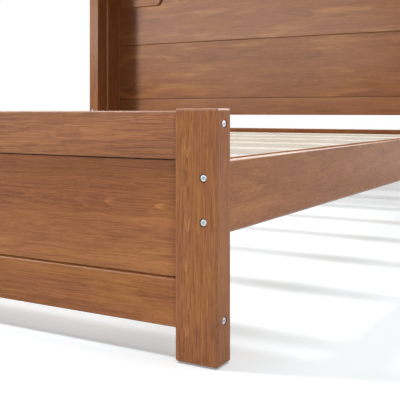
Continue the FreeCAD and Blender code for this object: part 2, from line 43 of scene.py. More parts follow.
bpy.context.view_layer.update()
print("bed frame loaded, %d parts" % len(cadNodes))

axisX, axisY, axisZ = Vector((1, 0, 0)), Vector((0, 1, 0)), Vector((0, 0, 1))


# Helpers for node trees: a value that is a socket is linked, any other is written in

def addNode(tree, kind, values=None, **settings):
    node = tree.nodes.new(kind)
    for name, value in settings.items():
        setattr(node, name, value)
    for key, value in (values or {}).items():
        if isinstance(value, bpy.types.NodeSocket):
            tree.links.new(value, node.inputs[key])
        else:
            node.inputs[key].default_value = value
    return node


def outputOf(tree, kind, values=None, **settings):
    return addNode(tree, kind, values, **settings).outputs[0]


def calc(tree, operation, *values):
    return outputOf(tree, "ShaderNodeMath", dict(enumerate(values)), operation=operation)


def calcVector(tree, operation, *values):
    return outputOf(tree, "ShaderNodeVectorMath", dict(enumerate(values)), operation=operation)


def plus(tree, first, second):
    return calc(tree, "ADD", first, second)


def minus(tree, first, second):
    return calc(tree, "SUBTRACT", first, second)


def times(tree, first, second):
    return calc(tree, "MULTIPLY", first, second)


def plusVector(tree, first, second):
    return calcVector(tree, "ADD", first, second)


def minusVector(tree, first, second):
    return calcVector(tree, "SUBTRACT", first, second)


def timesVector(tree, first, second):
    return calcVector(tree, "MULTIPLY", first, second)


def noiseOf(tree, point, detail=2.0, roughness=0.5, distortion=0.0, scale=1.0, output="Fac"):
    node = addNode(tree, "ShaderNodeTexNoise", {"Vector": point, "Scale": scale, "Detail": detail,
                                                "Roughness": roughness, "Distortion": distortion})
    return node.outputs[output]


def rangeOf(tree, value, fromLow, fromHigh, toLow, toHigh, smooth=False):
    return outputOf(tree, "ShaderNodeMapRange", {0: value, 1: fromLow, 2: fromHigh, 3: toLow, 4: toHigh},
                    interpolation_type="SMOOTHSTEP" if smooth else "LINEAR")


def mixColor(tree, share, first, second, blend="MIX"):
    return addNode(tree, "ShaderNodeMix", {0: share, 6: first, 7: second},
                   data_type="RGBA", blend_type=blend).outputs[2]


def rampOf(tree, value, stops):
    node = addNode(tree, "ShaderNodeValToRGB", {0: value})
    elements = node.color_ramp.elements
    while len(elements) < len(stops):
        elements.new(0.5)
    for element, (place, color) in zip(elements, stops):
        element.position = place
        element.color = (*color, 1.0)
    return node.outputs[0]


def newGroup(name, kind, inputs, outputs):
    # inputs and outputs: name -> (socket type, value at the start)
    tree = bpy.data.node_groups.new(name, kind)
    for key, (socketKind, value) in inputs.items():
        socket = tree.interface.new_socket(key, in_out="INPUT", socket_type=socketKind)
        if value is not None:
            socket.default_value = value
    for key, (socketKind, value) in outputs.items():
        tree.interface.new_socket(key, in_out="OUTPUT", socket_type=socketKind)
    return tree


# Camera

photoView = {
    "imageSize": 400,
    "focalPixels": 721.1,
    "levelPoint": (241.5, 111.8),     # where a level line straight ahead meets the picture
    "place": (1.5814, -2.1306, 0.4073),
    "turn": 28.31,                    # degrees to the left
}
cameraData = bpy.data.cameras.new("photoCamera")
camera = bpy.data.objects.new("photoCamera", cameraData)
scene.collection.objects.link(camera)
cameraData.sensor_width = 36.0
cameraData.lens = photoView["focalPixels"] * cameraData.sensor_width / photoView["imageSize"]
cameraData.shift_x = 0.5 - photoView["levelPoint"][0] / photoView["imageSize"]
cameraData.shift_y = photoView["levelPoint"][1] / photoView["imageSize"] - 0.5
cameraData.clip_start, cameraData.clip_end = 0.05, 60.0
camera.location = photoView["place"]
camera.rotation_euler = (math.radians(90), 0, math.radians(photoView["turn"]))
scene.camera = camera
scene.view_settings.view_transform = "Standard"
print("camera placed")


# Studio: lamps, white surroundings and a white floor that keeps the shadows

lampPlan = {
    # name: (place, what it looks at, size, watts)
    "key": ((-7.25, -6.84, 2.25), (0.0, 0.4, 0.5), (2.1, 2.1), 905),
    "back": ((1.6, 5.4, 3.4), (0.9, -0.6, 0.3), (5.6, 2.4), 160),
    "side": ((4.6, 2.7, 2.2), (1.0, -0.6, 0.3), (2.4, 2.0), 174),
    "fill": ((2.15, -2.2, 1.1), (1.0, -1.1, 0.3), (0.9, 0.8), 18),
    "sheen": ((-2.8, -4.2, 1.45), (0.2, 0.9, 0.8), (4.2, 1.6), 72),
    "gloss": ((-3.2, -1.1, 4.2), (0.6, -1.1, 0.3), (4.2, 3.4), 280),
    "top": ((-0.9, 1.1, 4.6), (-0.3, -0.3, 0.3), (1.5, 1.5), 166),
    "shade": ((-1.40, -1.77, 3.24), (0.3, -0.4, 0.0), (0.55, 0.55), 33),
    "sky": ((1.7, -0.3, 4.0), (1.2, -0.3, 0.0), (5.6, 5.6), 161),
}
studio = {
    "sheenColor": (0.80, 0.95, 1.0), "shadeSpread": 116,      # degrees
    "ambient": 0.054, "ambientColor": (1.0, 0.58, 0.38),
    "floorColor": (0.835, 0.91, 0.95), "floorBounce": (0.48, 0.41, 0.34),
    "floorGlow": 0.295, "floorSize": 24.0,
    "glowStart": 2.3, "glowEnd": 4.4,   # further out than this the floor is plain white
}


def addLamp(name, place, aim, size, watts):
    data = bpy.data.lights.new(name, "AREA")
    data.shape, data.size, data.size_y, data.energy = "ELLIPSE", size[0], size[1], watts
    lamp = bpy.data.objects.new(name, data)
    scene.collection.objects.link(lamp)
    lamp.location = place
    lamp.rotation_euler = (Vector(place) - Vector(aim)).to_track_quat("Z", "Y").to_euler()
    lamp.visible_camera = False
    return lamp


lamps = {name: addLamp(name + "Lamp", *settings) for name, settings in lampPlan.items()}


def shinyOrSeen(tree):
    # 1 for rays that show the background: seen straight on, mirrored or through glass
    path = addNode(tree, "ShaderNodeLightPath")
    seen = calc(tree, "MAXIMUM", path.outputs["Is Camera Ray"], path.outputs["Is Glossy Ray"])
    return calc(tree, "MAXIMUM", seen, path.outputs["Is Transmission Ray"])


world = bpy.data.worlds.new("whiteStudio")
scene.world = world
world.use_nodes = True
tree = world.node_tree
tree.nodes.clear()
seen = shinyOrSeen(tree)
plain = addNode(tree, "ShaderNodeBackground", {"Color": (*studio["ambientColor"], 1),
                                               "Strength": studio["ambient"]})
white = addNode(tree, "ShaderNodeBackground", {"Color": (1, 1, 1, 1), "Strength": 1.0})
blend = addNode(tree, "ShaderNodeMixShader", {0: seen, 1: plain.outputs[0], 2: white.outputs[0]})
addNode(tree, "ShaderNodeOutputWorld", {"Surface": blend.outputs[0]})

floorMesh = bpy.data.meshes.new("studioFloor")
reach = studio["floorSize"] / 2
floorMesh.from_pydata([(-reach, -reach, 0), (reach, -reach, 0), (reach, reach, 0), (-reach, reach, 0)],
                      [], [(0, 1, 2, 3)])
studioFloor = bpy.data.objects.new("studioFloor", floorMesh)
scene.collection.objects.link(studioFloor)
floorMaterial = bpy.data.materials.new("whiteFloor")
floorMaterial.use_nodes = True
tree = floorMaterial.node_tree
tree.nodes.clear()
seen = shinyOrSeen(tree)
point = addNode(tree, "ShaderNodeTexCoord").outputs["Object"]
away = addNode(tree, "ShaderNodeVectorMath", {0: point}, operation="LENGTH").outputs["Value"]
glow = rangeOf(tree, away, studio["glowStart"], studio["glowEnd"], studio["floorGlow"], 1.0,
               smooth=True)
floorShader = addNode(tree, "ShaderNodeBsdfDiffuse", {"Color": (*studio["floorColor"], 1)})
plainShader = addNode(tree, "ShaderNodeBsdfDiffuse", {"Color": (*studio["floorBounce"], 1)})
glowShader = addNode(tree, "ShaderNodeEmission", {"Color": (1, 1, 1, 1), "Strength": glow})
both = addNode(tree, "ShaderNodeAddShader", {0: floorShader.outputs[0], 1: glowShader.outputs[0]})
blend = addNode(tree, "ShaderNodeMixShader", {0: seen, 1: plainShader.outputs[0], 2: both.outputs[0]})
addNode(tree, "ShaderNodeOutputMaterial", {"Surface": blend.outputs[0]})
floorMesh.materials.append(floorMaterial)


def shineOn(pieces):
    # a collection for a lamp that lights these pieces alone
    collection = bpy.data.collections.new("lit")
    for piece in pieces:
        collection.objects.link(piece)
    return collection


def shineOff(pieces):
    # a collection for a lamp that lights everything but these pieces
    collection = shineOn(pieces)
    for member in collection.collection_objects:
        member.light_linking.link_state = "EXCLUDE"
    return collection


lamps["sheen"].data.color = studio["sheenColor"]
lamps["shade"].data.spread = math.radians(studio["shadeSpread"])
for name in ("sheen", "gloss"):              # seen only as gloss, on planks and rounded edges
    lamps[name].visible_diffuse = False
lamps["key"].visible_glossy = False          # low as it is, the planks would mirror it

# the sky lamp and the shade lamp draw the bed's shadow on the floor; inside the left wing it stays deep
floorOnly = shineOn([studioFloor])
notFloor = shineOff([studioFloor])
notInWing = shineOff([studioFloor, cadNodes["head_post_left"], cadNodes["wing_inner_board_left"]])
for collection, names in ((floorOnly, ("sky", "shade")), (notInWing, ("side", "top")),
                          (notFloor, ("key", "back", "fill", "sheen", "gloss"))):
    for name in names:
        lamps[name].light_linking.receiver_collection = collection
print("studio lit")


# Wood: one group for the figure of a board, fed with the board's own axes and size

grainScales = {
    # how often each pattern changes in a metre: with the grain, through the wide face, across it
    "wave": (11.0, 26.0, 26.0), "ringShow": (1.7, 9.0, 9.0), "patches": (3.0, 15.0, 22.0),
    "clouds": (3.6, 20.0, 28.0), "glow": (3.2, 25.0, 25.0), "ribbon": (24.0, 34.0, 34.0),
    "streaks": (3.0, 300.0, 300.0), "fibres": (7.0, 640.0, 640.0), "pores": (62.0, 1500.0, 1500.0),
    "edgeBreakup": (60.0, 60.0, 60.0), "smudge": (9.0, 9.0, 9.0),
}
flameShape = {"placeShare": 0.55, "sway": 0.006, "slope": 0.26, "line": (0.0004, 0.0026),
              "edge": 0.001, "fill": 0.55, "tip": 0.0012, "tail": (0.006, 0.030)}
roughnessShares = {"smudge": 0.10, "fibres": 0.12, "edgeWearAndHighlight": -0.06}
heightShares = {"fibres": 0.35, "streaks": 0.35, "pores": -0.5, "latewood": 0.25}
seedStep = (7.31, 3.17, 5.73)       # how far the pattern moves from one seed to the next


def latewoodOf(tree, given, look, moved, show):
    # soft bends of the whole stem, then the year rings round a tilted pith
    bent = given["Point"]
    for along, across, amount in look["bends"]:
        bend = noiseOf(tree, timesVector(tree, moved, (along, across, across)), output="Color")
        bend = minusVector(tree, bend, (0.5, 0.5, 0.5))
        bent = plusVector(tree, bent, timesVector(tree, bend, (0.0, amount, amount)))
    bent = addNode(tree, "ShaderNodeSeparateXYZ", {0: bent}).outputs
    depth = plus(tree, times(tree, bent[0], given["Pith tilt"]), given["Pith depth"])
    depth = plus(tree, depth, bent[1])
    sideways = plus(tree, bent[2], given["Pith side"])
    ring = calc(tree, "SQRT", plus(tree, times(tree, depth, depth), times(tree, sideways, sideways)))
    ring = calc(tree, "FRACT", calc(tree, "DIVIDE", ring, look["ringSpacing"]))
    ringEnd = rangeOf(tree, ring, 0.90, 1.0, 1.0, 0.0)           # a dark line that ends at once
    latewood = times(tree, calc(tree, "POWER", ring, look["ringSharpness"]), ringEnd)
    shown = rangeOf(tree, show, 0.35, 0.70, 0.15, 1.0, smooth=True)
    return times(tree, times(tree, latewood, shown), given["Rings"])


def flamesOf(tree, given, look):
    # small pointed flames: one at a chance place in each stretch of the board
    parts = addNode(tree, "ShaderNodeSeparateXYZ", {0: given["Point"]}).outputs
    stretch = plus(tree, calc(tree, "DIVIDE", parts[0], look["flameSpacing"]), given["Seed"])
    chance = addNode(tree, "ShaderNodeTexWhiteNoise", {"W": calc(tree, "FLOOR", stretch)},
                     noise_dimensions="1D").outputs["Color"]
    chance = addNode(tree, "ShaderNodeSeparateXYZ", {0: chance}).outputs
    along = minus(tree, calc(tree, "FRACT", stretch), times(tree, chance[0], flameShape["placeShare"]))
    along = times(tree, along, look["flameSpacing"])
    sway = times(tree, minus(tree, chance[1], 0.5), flameShape["sway"])
    across = plus(tree, minus(tree, parts[2], given["Flame line"]), sway)
    beside = minus(tree, calc(tree, "ABSOLUTE", across), times(tree, along, flameShape["slope"]))
    line = rangeOf(tree, calc(tree, "ABSOLUTE", beside), *flameShape["line"], 1.0, 0.0, smooth=True)
    inside = rangeOf(tree, beside, -flameShape["edge"], flameShape["edge"], flameShape["fill"], 0.0)
    flame = calc(tree, "MAXIMUM", line, inside)
    for share in (rangeOf(tree, along, 0.0, flameShape["tip"], 0.0, 1.0),
                  rangeOf(tree, along, *flameShape["tail"], 1.0, 0.0, smooth=True),
                  rangeOf(tree, chance[2], 0.10, 0.60, 0.35, 1.0), given["Flames"]):
        flame = times(tree, flame, share)
    return flame


def edgeWearAndHighlightOf(tree, given, edgeBreakup):
    # worn edges with a painted highlight along them: the middle one of the three distances to the faces is
    # small only there
    gap = minusVector(tree, given["Half size"], calcVector(tree, "ABSOLUTE", given["Point"]))
    near = addNode(tree, "ShaderNodeSeparateXYZ", {0: gap}).outputs
    small = calc(tree, "MINIMUM", near[0], near[1])
    large = calc(tree, "MAXIMUM", near[0], near[1])
    middle = calc(tree, "MAXIMUM", small, calc(tree, "MINIMUM", large, near[2]))
    edgeWearAndHighlight = calc(tree, "DIVIDE", middle, given["Worn edge and highlight width"])
    edgeWearAndHighlight = rangeOf(tree, edgeWearAndHighlight, 1.0, 0.0, 0.0, 1.0, smooth=True)
    edgeBreakup = rangeOf(tree, edgeBreakup, 0.42, 0.62, 0.0, 1.0)
    return times(tree, edgeWearAndHighlight, calc(tree, "MAXIMUM", edgeBreakup, given["Worn edge and highlight evenness"]))


def coatOf(tree, given, look):
    # lacquer lies thick on a rounded edge and thin on a face that looks up
    facing = addNode(tree, "ShaderNodeTexCoord").outputs["Normal"]
    facing = addNode(tree, "ShaderNodeSeparateXYZ", {0: facing}).outputs
    squarest = calc(tree, "ABSOLUTE", facing[0])
    for other in facing[1:]:
        squarest = calc(tree, "MAXIMUM", squarest, calc(tree, "ABSOLUTE", other))
    rounding = rangeOf(tree, squarest, 0.998, 0.97, 0.0, 1.0)
    coat = rangeOf(tree, facing[2], 0.90, 0.99, given["Coat"], look["topCoat"])
    return calc(tree, "MAXIMUM", coat, times(tree, rounding, given["Edge coat"]))


def makeWoodGroup(name, look):
    tree = newGroup(name, "ShaderNodeTree", {
        "Point": ("NodeSocketVector", None),        # metres, X with the grain, Y through the wide face
        "Half size": ("NodeSocketVector", None),
        "Seed": ("NodeSocketFloat", 0.0),
        "Pith depth": ("NodeSocketFloat", 0.05),    # how far behind the face the tree's middle lay
        "Pith tilt": ("NodeSocketFloat", 0.04),
        "Pith side": ("NodeSocketFloat", 0.0),      # how far beside the board's middle it lay
        "Flame line": ("NodeSocketFloat", 0.0),     # where a row of small flames runs, across the board
        "Tone": ("NodeSocketFloat", 0.0),
        "Painted shade slope": ("NodeSocketFloat", 0.0),     # painted shade: how much lighter for each metre across the board
        "Fineness": ("NodeSocketFloat", 1.0),       # how strongly the fine lines show
        "Shortness": ("NodeSocketFloat", 1.0),      # above 1, the lines and patches are shorter
        "Worn edge and highlight width": ("NodeSocketFloat", look["edgeWearAndHighlightWidth"]),
        "Worn edge and highlight share": ("NodeSocketFloat", look["edgeWearAndHighlightShare"]),
        "Worn edge and highlight evenness": ("NodeSocketFloat", 0.0),  # how much of the worn edge and painted highlight shows without gaps
        "Flames": ("NodeSocketFloat", 1.0),         # how strongly the small flames show
        "Rings": ("NodeSocketFloat", 1.0),          # how strongly the year rings show
        "Swirl": ("NodeSocketFloat", look["swirl"]),    # how far the fine lines sway, in metres
        "Glow": ("NodeSocketFloat", 0.0),           # how much lighter the long golden patches are
        "Coat": ("NodeSocketFloat", look["coat"]),
        "Edge coat": ("NodeSocketFloat", look["edgeCoat"]),
    }, {"Color": ("NodeSocketColor", None), "Roughness": ("NodeSocketFloat", None),
        "Coat": ("NodeSocketFloat", None), "Height": ("NodeSocketFloat", None)})
    given = addNode(tree, "NodeGroupInput").outputs
    shift = timesVector(tree, seedStep, given["Seed"])
    shorter = outputOf(tree, "ShaderNodeCombineXYZ", {0: given["Shortness"], 1: 1.0, 2: 1.0})
    moved = timesVector(tree, plusVector(tree, given["Point"], shift), shorter)

    def grainNoise(kind, detail=2.0, roughness=0.5, distortion=0.0, output="Fac"):
        point = timesVector(tree, moved, grainScales[kind])
        return noiseOf(tree, point, detail, roughness, distortion, output=output)

    def weighed(value, weight):
        return times(tree, minus(tree, value, 0.5), weight)

    swirl = outputOf(tree, "ShaderNodeCombineXYZ", {1: given["Swirl"], 2: given["Swirl"]})
    wave = minusVector(tree, grainNoise("wave", output="Color"), (0.5, 0.5, 0.5))
    moved = plusVector(tree, moved, timesVector(tree, wave, swirl))

    latewood = latewoodOf(tree, given, look, moved, grainNoise("ringShow"))
    patches, clouds = grainNoise("patches", 3.0, 0.55, 0.4), grainNoise("clouds")
    glow = rangeOf(tree, grainNoise("glow"), 0.52, 0.71, 0.0, 1.0, smooth=True)
    ribbon = grainNoise("ribbon", 1.0, 0.5, 0.6)                        # soft bars across the grain
    streaks, fibres = grainNoise("streaks", 4.0, 0.6), grainNoise("fibres", 3.0, 0.6)
    pores = rangeOf(tree, grainNoise("pores", 1.0), 0.60, 0.72, 0.0, 1.0)
    flame = flamesOf(tree, given, look)

    acrossBoard = addNode(tree, "ShaderNodeSeparateXYZ", {0: given["Point"]}).outputs[2]
    tone = plus(tree, given["Tone"], 0.5)
    # painted shade: a board can be made darker towards one side across it
    tone = plus(tree, tone, times(tree, acrossBoard, given["Painted shade slope"]))
    for value, weight in ((patches, look["patchWeight"]), (ribbon, look["ribbonWeight"])):
        tone = plus(tree, tone, weighed(value, weight))
    for value, weight in ((streaks, look["streakWeight"]), (fibres, look["fibreWeight"])):
        tone = plus(tree, tone, times(tree, weighed(value, weight), given["Fineness"]))
    tone = minus(tree, tone, times(tree, latewood, look["ringWeight"]))
    tone = plus(tree, tone, times(tree, flame, look["flameWeight"]))
    tone = plus(tree, tone, times(tree, glow, given["Glow"]))
    color = rampOf(tree, tone, look["stops"])
    hue = rangeOf(tree, clouds, 0.36, 0.64, 0.0, 1.0, smooth=True)
    hue = mixColor(tree, hue, (*look["cool"], 1), (*look["warm"], 1))
    color = mixColor(tree, 1.0, color, hue, "MULTIPLY")
    color = mixColor(tree, times(tree, pores, look["poreDark"]), color, (*look["poreColor"], 1))
    # the lighter edge colour: partly worn edges, partly a painted highlight along rounded edges
    edgeWearAndHighlight = edgeWearAndHighlightOf(tree, given, grainNoise("edgeBreakup", 3.0))
    color = mixColor(tree, times(tree, edgeWearAndHighlight, given["Worn edge and highlight share"]), color, (*look["edgeWearAndHighlightColor"], 1))

    roughness = weighed(grainNoise("smudge", 3.0), roughnessShares["smudge"])
    roughness = plus(tree, look["roughness"], roughness)
    roughness = plus(tree, roughness, weighed(fibres, roughnessShares["fibres"]))
    roughness = plus(tree, roughness, times(tree, edgeWearAndHighlight, roughnessShares["edgeWearAndHighlight"]))
    height = times(tree, fibres, heightShares["fibres"])
    for key, value in (("streaks", streaks), ("pores", pores), ("latewood", latewood)):
        height = plus(tree, height, times(tree, value, heightShares[key]))
    addNode(tree, "NodeGroupOutput", {"Color": color, "Roughness": roughness,
                                      "Coat": coatOf(tree, given, look), "Height": height})
    return tree


walnutLook = {
    "stops": ((0.0, (0.135, 0.045, 0.016)), (0.35, (0.243, 0.090, 0.033)), (0.5, (0.297, 0.114, 0.041)),
              (1.0, (0.470, 0.206, 0.071))),
    "cool": (0.985, 0.970, 1.04), "warm": (1.02, 1.045, 0.93), "swirl": 0.007,
    "bends": ((1.1, 7.0, 0.016), (5.0, 32.0, 0.0035)), "ringSpacing": 0.0075, "ringSharpness": 3.0,
    "ringWeight": 0.17, "patchWeight": 0.50, "ribbonWeight": 0.09, "streakWeight": 0.46,
    "fibreWeight": 1.20, "flameSpacing": 0.085, "flameWeight": 0.26,
    "poreDark": 0.30, "poreColor": (0.075, 0.026, 0.008),
    # lighter edge colour: partly worn edges, partly a painted highlight where rounded edges catch the
    # light
    "edgeWearAndHighlightWidth": 0.0035, "edgeWearAndHighlightShare": 0.30, "edgeWearAndHighlightColor": (0.46, 0.23, 0.10), "roughness": 0.45,
    "bump": 0.30, "bumpDistance": 0.0006, "specular": 0.0,
    "coat": 0.48, "topCoat": 0.03, "edgeCoat": 0.52, "coatRoughness": 0.20,
}
pineLook = {
    "stops": ((0.0, (0.57, 0.505, 0.405)), (0.35, (0.72, 0.675, 0.60)), (0.6, (0.79, 0.76, 0.70)),
              (1.0, (0.84, 0.82, 0.78))),
    "cool": (0.99, 0.99, 1.0), "warm": (1.0, 0.99, 0.96), "swirl": 0.003,
    "bends": ((1.0, 6.0, 0.012), (4.0, 28.0, 0.002)), "ringSpacing": 0.0060, "ringSharpness": 3.2,
    "ringWeight": 0.34, "patchWeight": 0.45, "ribbonWeight": 0.06, "streakWeight": 0.45,
    "fibreWeight": 0.25, "flameSpacing": 0.110, "flameWeight": 0.0,
    "poreDark": 0.12, "poreColor": (0.45, 0.34, 0.22),
    "edgeWearAndHighlightWidth": 0.0030, "edgeWearAndHighlightShare": 0.20, "edgeWearAndHighlightColor": (0.70, 0.60, 0.46), "roughness": 0.45,
    "bump": 0.40, "bumpDistance": 0.0006, "specular": 0.30,
    "coat": 0.0, "topCoat": 0.10, "edgeCoat": 0.0, "coatRoughness": 0.35,
}
beechLook = {
    **pineLook,
    "stops": ((0.0, (0.44, 0.27, 0.15)), (0.4, (0.60, 0.42, 0.27)), (0.7, (0.68, 0.50, 0.34)),
              (1.0, (0.75, 0.58, 0.42))),
    "ringSpacing": 0.0035, "ringWeight": 0.12, "poreDark": 0.30, "poreColor": (0.36, 0.20, 0.11),
}
woodLooks = {"walnut": walnutLook, "pine": pineLook, "beech": beechLook}
woodGroups = {name: makeWoodGroup(name + "Figure", look) for name, look in woodLooks.items()}


def makeWood(name, wood, low, high, grain, face, settings):
    # settings: values for the inputs of the wood group, by name
    look = woodLooks[wood]
    material = bpy.data.materials.new(name)
    material.use_nodes = True
    tree = material.node_tree
    tree.nodes.clear()
    side, extent = grain.cross(face), high - low
    turn = Matrix((grain, face, side)).transposed().to_euler()     # lays X with the grain
    point = outputOf(tree, "ShaderNodeMapping", {
        "Vector": addNode(tree, "ShaderNodeTexCoord").outputs["Object"],
        "Location": (low + high) / 2, "Rotation": turn}, vector_type="TEXTURE")
    figure = addNode(tree, "ShaderNodeGroup", node_tree=woodGroups[wood])
    tree.links.new(point, figure.inputs["Point"])
    figure.inputs["Half size"].default_value = [abs(extent.dot(axis)) / 2 for axis in (grain, face, side)]
    for key, value in settings.items():
        figure.inputs[key].default_value = value
    bump = outputOf(tree, "ShaderNodeBump", {
        "Height": figure.outputs["Height"], "Strength": look["bump"], "Distance": look["bumpDistance"]})
    shader = outputOf(tree, "ShaderNodeBsdfPrincipled", {
        "Base Color": figure.outputs["Color"], "Roughness": figure.outputs["Roughness"],
        "Normal": bump, "Specular IOR Level": look["specular"],
        "Coat Weight": figure.outputs["Coat"], "Coat Roughness": look["coatRoughness"]})
    addNode(tree, "ShaderNodeOutputMaterial", {"Surface": shader})
    return material


# Boards: every board of the bed, with the way its grain runs and the way its wide face looks

boards = {
    # name: (wood, grain, wide face, seed, tone, pith depth, pith tilt)
    "foot_post_right": ("walnut", axisZ, axisY, 1.0, -0.045, 0.045, 0.050),
    "foot_post_left": ("walnut", axisZ, axisY, 2.3, 0.02, 0.055, 0.045),
    "footboard_top_rail": ("walnut", axisX, axisY, 3.1, 0.00, 0.060, 0.030),
    "footboard_bottom_rail": ("walnut", axisX, axisY, 4.7, 0.00, 0.050, 0.035),
    "footboard_panel": ("walnut", axisX, axisY, 5.2, 0.00, 0.070, 0.050),
    "side_rail_right": ("walnut", axisY, axisX, 6.4, 0.00, 0.055, 0.035),
    "side_rail_left": ("walnut", axisY, axisX, 7.9, -0.01, 0.060, 0.030),
    "head_cross_rail": ("walnut", axisX, axisY, 8.5, -0.20, 0.050, 0.030),
    "head_post_left": ("walnut", axisZ, axisY, 9.6, 0.045, 0.060, 0.030),
    "head_post_right": ("walnut", axisZ, axisY, 10.2, 0.00, 0.055, 0.035),
    "headboard_bottom_board": ("walnut", axisX, axisY, 11.3, 0.00, 0.060, 0.030),
    "headboard_lower_plank": ("walnut", axisX, axisY, 12.8, -0.03, 0.090, 0.050),
    "headboard_upper_plank": ("walnut", axisX, axisY, 13.4, 0.015, 0.080, 0.045),
    "headboard_crest": ("walnut", axisX, axisY, 14.9, 0.06, 0.070, 0.040),
    "headboard_cap": ("walnut", axisX, axisZ, 15.5, 0.02, 0.060, 0.030),
    "headboard_batten_left": ("walnut", axisZ, axisY, 16.1, -0.03, 0.050, 0.040),
    "headboard_batten_middle": ("walnut", axisZ, axisY, 17.7, 0.00, 0.055, 0.035),
    "headboard_batten_right": ("walnut", axisZ, axisY, 18.3, -0.01, 0.060, 0.045),
    "slat_ledger_left": ("pine", axisY, axisX, 31.2, 0.00, 0.040, 0.025),
    "slat_ledger_right": ("pine", axisY, axisX, 32.6, 0.00, 0.045, 0.030),
    "centre_beam": ("pine", axisY, axisX, 33.9, -0.02, 0.050, 0.030),
}
for side, seed in (("left", 20.3), ("right", 24.8)):
    boards["wing_outer_board_" + side] = ("walnut", axisZ, axisX, seed, 0.01, 0.070, 0.040)
    boards["wing_inner_board_" + side] = ("walnut", axisZ, axisX, seed + 1.1, 0.00, 0.065, 0.045)
    boards["wing_base_" + side] = ("walnut", axisY, axisZ, seed + 2.3, -0.02, 0.050, 0.030)
    boards["wing_cap_" + side] = ("walnut", axisY, axisZ, seed + 3.2, 0.02, 0.050, 0.030)
for number in range(1, 8):
    slatSeed, slatTone = 40 + 1.37 * number, 0.04 * math.sin(2.4 * number)
    slatDepth = 0.035 + 0.006 * (number % 3)
    boards["slat_%d" % number] = ("pine", axisX, axisZ, slatSeed, slatTone, slatDepth, 0.018)
for number in range(1, 4):
    boards["centre_leg_%d" % number] = ("pine", axisZ, axisY, 60 + 1.9 * number, 0.0, 0.040, 0.040)

pithSides = {"foot_post_right": 0.014, "foot_post_left": -0.012, "footboard_panel": 0.050,
             "footboard_top_rail": -0.030, "footboard_bottom_rail": 0.025, "side_rail_right": 0.030,
             "headboard_lower_plank": -0.060, "headboard_upper_plank": 0.070}
flameLines = {"foot_post_right": 0.016, "foot_post_left": 0.010, "footboard_panel": 0.020,
              "headboard_upper_plank": 0.060, "headboard_lower_plank": -0.070}
noFlameLine = 0.3       # beside every board, so that no flame shows on it
extras = {
    "headboard_upper_plank": {"Coat": 0.52, "Glow": 0.27, "Fineness": 0.8},
    "headboard_lower_plank": {"Coat": 0.42, "Glow": 0.27, "Fineness": 0.8},
    "headboard_bottom_board": {"Coat": 0.55, "Fineness": 0.8},
    "head_cross_rail": {"Coat": 0.15},
    # painted shade: the panel is darker towards its top, under the top rail
    "footboard_panel": {"Painted shade slope": -2.0, "Flames": 1.5, "Swirl": 0.010, "Glow": 0.24,
                        "Fineness": 0.85},
    "footboard_top_rail": {"Coat": 0.76, "Fineness": 1.25, "Rings": 1.9, "Swirl": 0.009, "Glow": 0.15},
    # painted shade: the bottom rail is darker towards its lower edge
    "footboard_bottom_rail": {"Coat": 0.40, "Rings": 0.6, "Painted shade slope": 2.2, "Glow": 0.18},
}
for side, postEdgeCoat in (("left", 0.62), ("right", 0.60)):
    # on the foot posts the wide, even lighter edge band is a painted highlight on their rounded top and
    # side edges
    extras["foot_post_" + side] = {"Shortness": 1.7, "Fineness": 1.2, "Flames": 1.4, "Worn edge and highlight width": 0.0055,
                                   "Worn edge and highlight share": 0.5, "Worn edge and highlight evenness": 0.6, "Edge coat": postEdgeCoat}
    extras["head_post_" + side] = {"Coat": 0.66}
    extras["side_rail_" + side] = {"Coat": 0.50, "Edge coat": 0.80, "Swirl": 0.040, "Fineness": 0.8,
                                   "Glow": 0.15}
    # on the inner wing boards the wide, even lighter edge band is a painted highlight on their front edge,
    # which lies in the head post's shadow
    extras["wing_inner_board_" + side] = {"Worn edge and highlight width": 0.016, "Worn edge and highlight share": 1.1, "Worn edge and highlight evenness": 0.85}

for nodeName, (wood, grain, face, seed, tone, pithDepth, pithTilt) in boards.items():
    low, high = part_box(nodeName)
    settings = {"Seed": seed, "Tone": tone, "Pith depth": pithDepth, "Pith tilt": pithTilt,
                "Pith side": pithSides.get(nodeName, 0.0),
                "Flame line": flameLines.get(nodeName, noFlameLine), **extras.get(nodeName, {})}
    material = makeWood(nodeName + "_" + wood, wood, low, high, grain, face, settings)
    for slot in cadNodes[nodeName].material_slots:
        slot.material = material
print("wood finished on %d boards" % len(boards))


# Zinc plated steel and moulded pads

steelLook = {"color": (0.50, 0.535, 0.565), "spotColor": (0.43, 0.46, 0.485), "roughness": (0.39, 0.60),
             "metallic": 1.0, "spotScale": 420.0, "grainScale": 2600.0, "bump": 0.25,
             "bumpDistance": 0.00004}
padLook = {"color": (0.030, 0.030, 0.032), "spotColor": (0.085, 0.083, 0.080), "roughness": (0.48, 0.69),
           "metallic": 0.0, "spotScale": 60.0, "grainScale": 1500.0, "bump": 0.25,
           "bumpDistance": 0.00012}


def makePlain(name, look):
    material = bpy.data.materials.new(name)
    material.use_nodes = True
    tree = material.node_tree
    tree.nodes.clear()
    point = addNode(tree, "ShaderNodeTexCoord").outputs["Object"]
    spots = noiseOf(tree, point, 4.0, 0.6, scale=look["spotScale"])
    grains = noiseOf(tree, point, 2.0, 0.6, scale=look["grainScale"])
    share = rangeOf(tree, spots, 0.40, 0.72, 0.0, 1.0, smooth=True)
    color = mixColor(tree, share, (*look["color"], 1), (*look["spotColor"], 1))
    roughness = rangeOf(tree, plus(tree, spots, grains), 0.7, 1.3, *look["roughness"])
    bump = outputOf(tree, "ShaderNodeBump", {"Height": grains, "Strength": look["bump"],
                                             "Distance": look["bumpDistance"]})
    shader = outputOf(tree, "ShaderNodeBsdfPrincipled", {
        "Base Color": color, "Roughness": roughness, "Metallic": look["metallic"], "Normal": bump})
    addNode(tree, "ShaderNodeOutputMaterial", {"Surface": shader})
    return material


